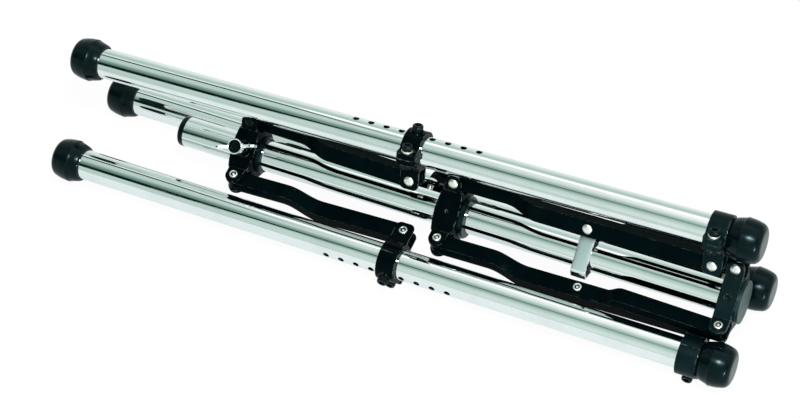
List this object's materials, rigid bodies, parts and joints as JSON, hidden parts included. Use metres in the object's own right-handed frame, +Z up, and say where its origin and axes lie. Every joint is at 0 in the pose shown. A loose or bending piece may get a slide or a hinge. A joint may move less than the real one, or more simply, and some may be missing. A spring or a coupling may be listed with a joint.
{
  "type": "conga stand",
  "caption": "Folding tripod conga stand, folded flat: tubular legs with rubber feet on crossed channel arms that slide along a centre tube.",
  "frame": {"origin": "on the floor under the middle of the folded stand's bounding box", "axes": "+X along the centre tube toward the feet, +Y to the far side in the picture, +Z up from the floor that the folded stand lies on"},
  "size_m": [0.6824, 0.1586, 0.1454],
  "materials": {
    "chromed_tube": "polished chrome plate",
    "black_steel": "semi-gloss black powder coat",
    "cap_rubber": "smooth moulded rubber, soft sheen",
    "bright_pin": "bright nickel plate",
    "dark_bolt": "black oxide",
    "bush_plastic": "black nylon, satin"
  },
  "bodies": {
    "centre": {"centre_tube": "chromed_tube", "centre_tube_plug": "bush_plastic", "end_disc": "bush_plastic", "end_hub": "black_steel", "end_hub_set_screw": "dark_bolt", "end_hub_pins": "bright_pin", "stop_band": "chromed_tube"},
    "link_c": {"short_link_c": "black_steel", "scissor_rivet_c": "bright_pin"},
    "arm_c": {"long_arm_c": "black_steel"},
    "clamps_c": {"low_strap_c": "black_steel", "low_saddle_c": "black_steel", "mid_strap_c": "black_steel", "mid_saddle_c": "black_steel", "clamp_bolts_c": "dark_bolt", "clamp_pins_c": "bright_pin"},
    "leg_c": {"leg_tube_c": "chromed_tube", "foot_c": "cap_rubber", "top_tip_c": "cap_rubber"},
    "upper_c": {"upper_arm_c": "black_steel"},
    "link_a": {"short_link_a": "black_steel", "scissor_rivet_a": "bright_pin"},
    "arm_a": {"long_arm_a": "black_steel"},
    "clamps_a": {"low_strap_a": "black_steel", "low_saddle_a": "black_steel", "mid_strap_a": "black_steel", "mid_saddle_a": "black_steel", "clamp_bolts_a": "dark_bolt", "clamp_pins_a": "bright_pin"},
    "leg_a": {"leg_tube_a": "chromed_tube", "foot_a": "cap_rubber", "top_tip_a": "cap_rubber"},
    "upper_a": {"upper_arm_a": "black_steel"},
    "link_b": {"short_link_b": "black_steel", "scissor_rivet_b": "bright_pin"},
    "arm_b": {"long_arm_b": "black_steel"},
    "clamps_b": {"low_strap_b": "black_steel", "low_saddle_b": "black_steel", "mid_strap_b": "black_steel", "mid_saddle_b": "black_steel", "clamp_bolts_b": "dark_bolt", "clamp_pins_b": "bright_pin"},
    "leg_b": {"leg_tube_b": "chromed_tube", "foot_b": "cap_rubber", "top_tip_b": "cap_rubber"},
    "upper_b": {"upper_arm_b": "black_steel"},
    "runner": {"lower_runner": "black_steel", "runner_bush": "bush_plastic", "runner_pins": "bright_pin"},
    "top_slider": {"top_hub": "black_steel", "top_hub_bush": "bush_plastic", "top_hub_pins": "bright_pin"},
    "wing": {"wing_screw": "chromed_tube"}
  },
  "joints": [
    {"name": "link_c_fold", "type": "hinge", "parent": "centre", "child": "link_c", "pos_m": [0.3184, -0.03382, 0.04757], "axis": [0, -0.2179, 0.976], "range_deg": [0, 54]},
    {"name": "arm_c_turn", "type": "hinge", "parent": "link_c", "child": "arm_c", "pos_m": [0.18393, -0.02947, 0.04137], "axis": [0, -0.2179, 0.976], "range_deg": [-108, 0]},
    {"name": "clamps_c_turn", "type": "hinge", "parent": "arm_c", "child": "clamps_c", "pos_m": [0.30041, -0.02539, 0.03459], "axis": [0, -0.2179, 0.976], "range_deg": [0, 43.49]},
    {"name": "upper_c_turn", "type": "hinge", "parent": "clamps_c", "child": "upper_c", "pos_m": [0.01141, -0.02539, 0.03459], "axis": [0, -0.2179, 0.976], "range_deg": [-51.44, 0]},
    {"name": "leg_c_slide", "type": "slide", "parent": "clamps_c", "child": "leg_c", "axis": [1, 0, 0], "range_m": [0, 0.0608]},
    {"name": "link_a_fold", "type": "hinge", "parent": "centre", "child": "link_a", "pos_m": [0.3184, 0.01082, 0.08859], "axis": [0, 0.9542, -0.2993], "range_deg": [0, 51.92]},
    {"name": "arm_a_turn", "type": "hinge", "parent": "link_a", "child": "arm_a", "pos_m": [0.18392, 0.00473, 0.09258], "axis": [0, 0.9542, -0.2993], "range_deg": [-103.85, 0]},
    {"name": "clamps_a_turn", "type": "hinge", "parent": "arm_a", "child": "clamps_a", "pos_m": [0.3004, -0.00191, 0.09646], "axis": [0, 0.9542, -0.2993], "range_deg": [0, 42.82]},
    {"name": "upper_a_turn", "type": "hinge", "parent": "clamps_a", "child": "upper_a", "pos_m": [0.01149, -0.00403, 0.08972], "axis": [0, 0.9542, -0.2993], "range_deg": [-52.15, 0]},
    {"name": "leg_a_slide", "type": "slide", "parent": "clamps_a", "child": "leg_a", "axis": [0.9997, 0.0073, 0.0233], "range_m": [0, 0.0608]},
    {"name": "link_b_fold", "type": "hinge", "parent": "centre", "child": "link_b", "pos_m": [0.3184, 0.02403, 0.02943], "axis": [0, -0.7363, -0.6767], "range_deg": [0, 54]},
    {"name": "arm_b_turn", "type": "hinge", "parent": "link_b", "child": "arm_b", "pos_m": [0.18393, 0.02722, 0.03629], "axis": [0, -0.7363, -0.6767], "range_deg": [-108, 0]},
    {"name": "clamps_b_turn", "type": "hinge", "parent": "arm_b", "child": "clamps_b", "pos_m": [0.30041, 0.03105, 0.04321], "axis": [0, -0.7363, -0.6767], "range_deg": [0, 43.49]},
    {"name": "upper_b_turn", "type": "hinge", "parent": "clamps_b", "child": "upper_b", "pos_m": [0.01141, 0.03105, 0.04321], "axis": [0, -0.7363, -0.6767], "range_deg": [-51.44, 0]},
    {"name": "leg_b_slide", "type": "slide", "parent": "clamps_b", "child": "leg_b", "axis": [1, 0, 0], "range_m": [0, 0.0608]},
    {"name": "runner_slide_turn", "type": "hinge", "parent": "arm_c", "child": "runner", "pos_m": [0.04947, -0.03382, 0.04757], "axis": [0, -0.2179, 0.976], "range_deg": [0, 54]},
    {"name": "top_slider_turn", "type": "hinge", "parent": "upper_c", "child": "top_slider", "pos_m": [-0.15821, -0.03382, 0.04757], "axis": [0, -0.2179, 0.976], "range_deg": [0, 61.95]},
    {"name": "wing_turn", "type": "hinge", "parent": "top_slider", "child": "wing", "pos_m": [-0.15821, -0.02199, 0.07949], "axis": [0, -0.6767, 0.7363], "range_deg": [-360, 360]}
  ],
  "couplings": [
    {"joint": "arm_c_turn", "follows": "link_c_fold", "ratio": -2},
    {"joint": "clamps_c_turn", "follows": "link_c_fold", "ratio": 0.8054},
    {"joint": "upper_c_turn", "follows": "link_c_fold", "ratio": -0.95258},
    {"joint": "link_a_fold", "follows": "link_c_fold", "ratio": 0.96153},
    {"joint": "arm_a_turn", "follows": "link_c_fold", "ratio": -1.9231},
    {"joint": "clamps_a_turn", "follows": "link_c_fold", "ratio": 0.79286},
    {"joint": "upper_a_turn", "follows": "link_c_fold", "ratio": -0.96575},
    {"joint": "link_b_fold", "follows": "link_c_fold", "ratio": 1},
    {"joint": "arm_b_turn", "follows": "link_c_fold", "ratio": -2},
    {"joint": "clamps_b_turn", "follows": "link_c_fold", "ratio": 0.8054},
    {"joint": "upper_b_turn", "follows": "link_c_fold", "ratio": -0.95258},
    {"joint": "runner_slide_turn", "follows": "link_c_fold", "ratio": 1},
    {"joint": "top_slider_turn", "follows": "link_c_fold", "ratio": 1.1472}
  ]
}
